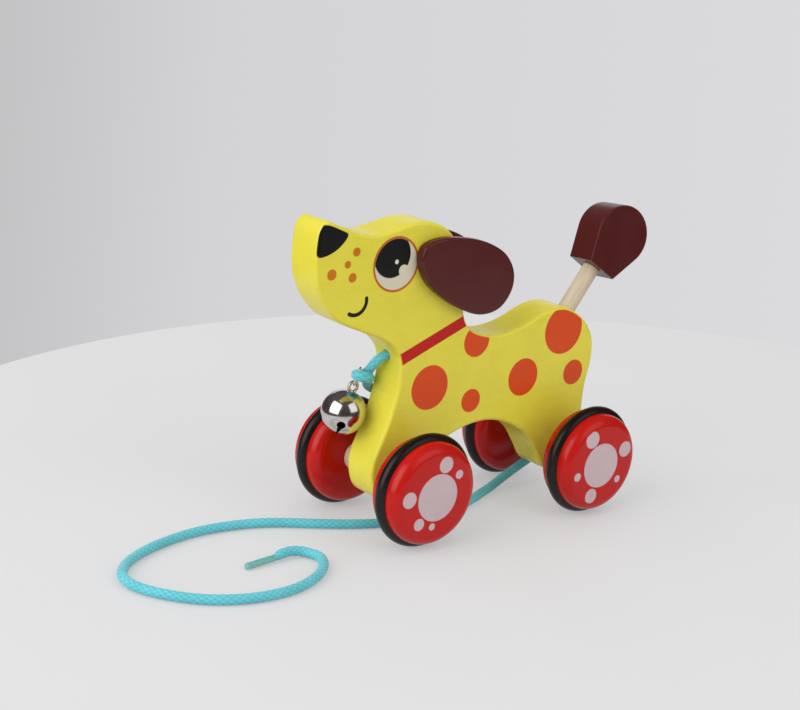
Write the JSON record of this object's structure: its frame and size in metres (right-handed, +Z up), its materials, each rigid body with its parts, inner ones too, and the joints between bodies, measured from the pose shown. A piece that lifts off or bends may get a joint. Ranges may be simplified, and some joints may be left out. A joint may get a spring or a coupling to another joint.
{
  "type": "wheeled_pull_toy",
  "caption": "Flat wooden dog on wheels with rubber tyres, plank ears, a dowel tail with a flat puff, and a pull cord that is hitched through a round bell at the chest",
  "frame": {"origin": "On the floor under the middle of the toy's outline, the cord left out", "axes": "The dog looks along -X, its left side is -Y, +Z is up; +X runs along the plank"},
  "size_m": [0.2711, 0.0875, 0.138],
  "materials": {
    "yellow_lacquer": "satin lacquer, printed with spots, a collar and a face",
    "maroon_lacquer": "satin lacquer",
    "red_lacquer": "satin lacquer, printed with paw dots outside",
    "bare_wood": "sanded and bare",
    "tyre_rubber": "matt",
    "bell_plating": "bright plated steel",
    "cord_braid": "round braid",
    "tip_sleeve": "clear shrunk sleeve over the cord"
  },
  "bodies": {
    "body": {"body": "yellow_lacquer", "left_ear": "maroon_lacquer", "right_ear": "maroon_lacquer", "ear_dowel": "bare_wood", "tail_rod": "bare_wood", "tail_puff": "maroon_lacquer", "cord_tether": "cord_braid", "pull_cord": "cord_braid", "cord_tip": "tip_sleeve"},
    "front_wheels": {"front_axle": "bare_wood", "wheel_front_left": "red_lacquer", "wheel_front_right": "red_lacquer", "tyre_front_left": "tyre_rubber", "tyre_front_right": "tyre_rubber", "spacer_front_left": "bare_wood", "spacer_front_right": "bare_wood"},
    "rear_wheels": {"rear_axle": "bare_wood", "wheel_rear_left": "red_lacquer", "wheel_rear_right": "red_lacquer", "tyre_rear_left": "tyre_rubber", "tyre_rear_right": "tyre_rubber", "spacer_rear_left": "bare_wood", "spacer_rear_right": "bare_wood"},
    "bell": {"bell_upper_shell": "bell_plating", "bell_lower_shell": "bell_plating", "bell_loop": "bell_plating"},
    "ball": {"bell_ball": "bell_plating"}
  },
  "joints": [
    {"name": "front_roll", "type": "hinge", "parent": "body", "child": "front_wheels", "pos_m": [-0.045, 0, 0.025], "axis": [0, 1, 0], "continuous": true},
    {"name": "rear_roll", "type": "hinge", "parent": "body", "child": "rear_wheels", "pos_m": [0.052, 0, 0.025], "axis": [0, 1, 0], "continuous": true},
    {"name": "bell_swing", "type": "hinge", "parent": "body", "child": "bell", "pos_m": [-0.0558, 0.0092, 0.0657], "axis": [0, 1, 0], "range_deg": [0, 70]},
    {"name": "ball_roll", "type": "hinge", "parent": "bell", "child": "ball", "pos_m": [-0.06171, 0.0092, 0.0503], "axis": [0, 1, 0], "range_deg": [-45, 45]}
  ]
}
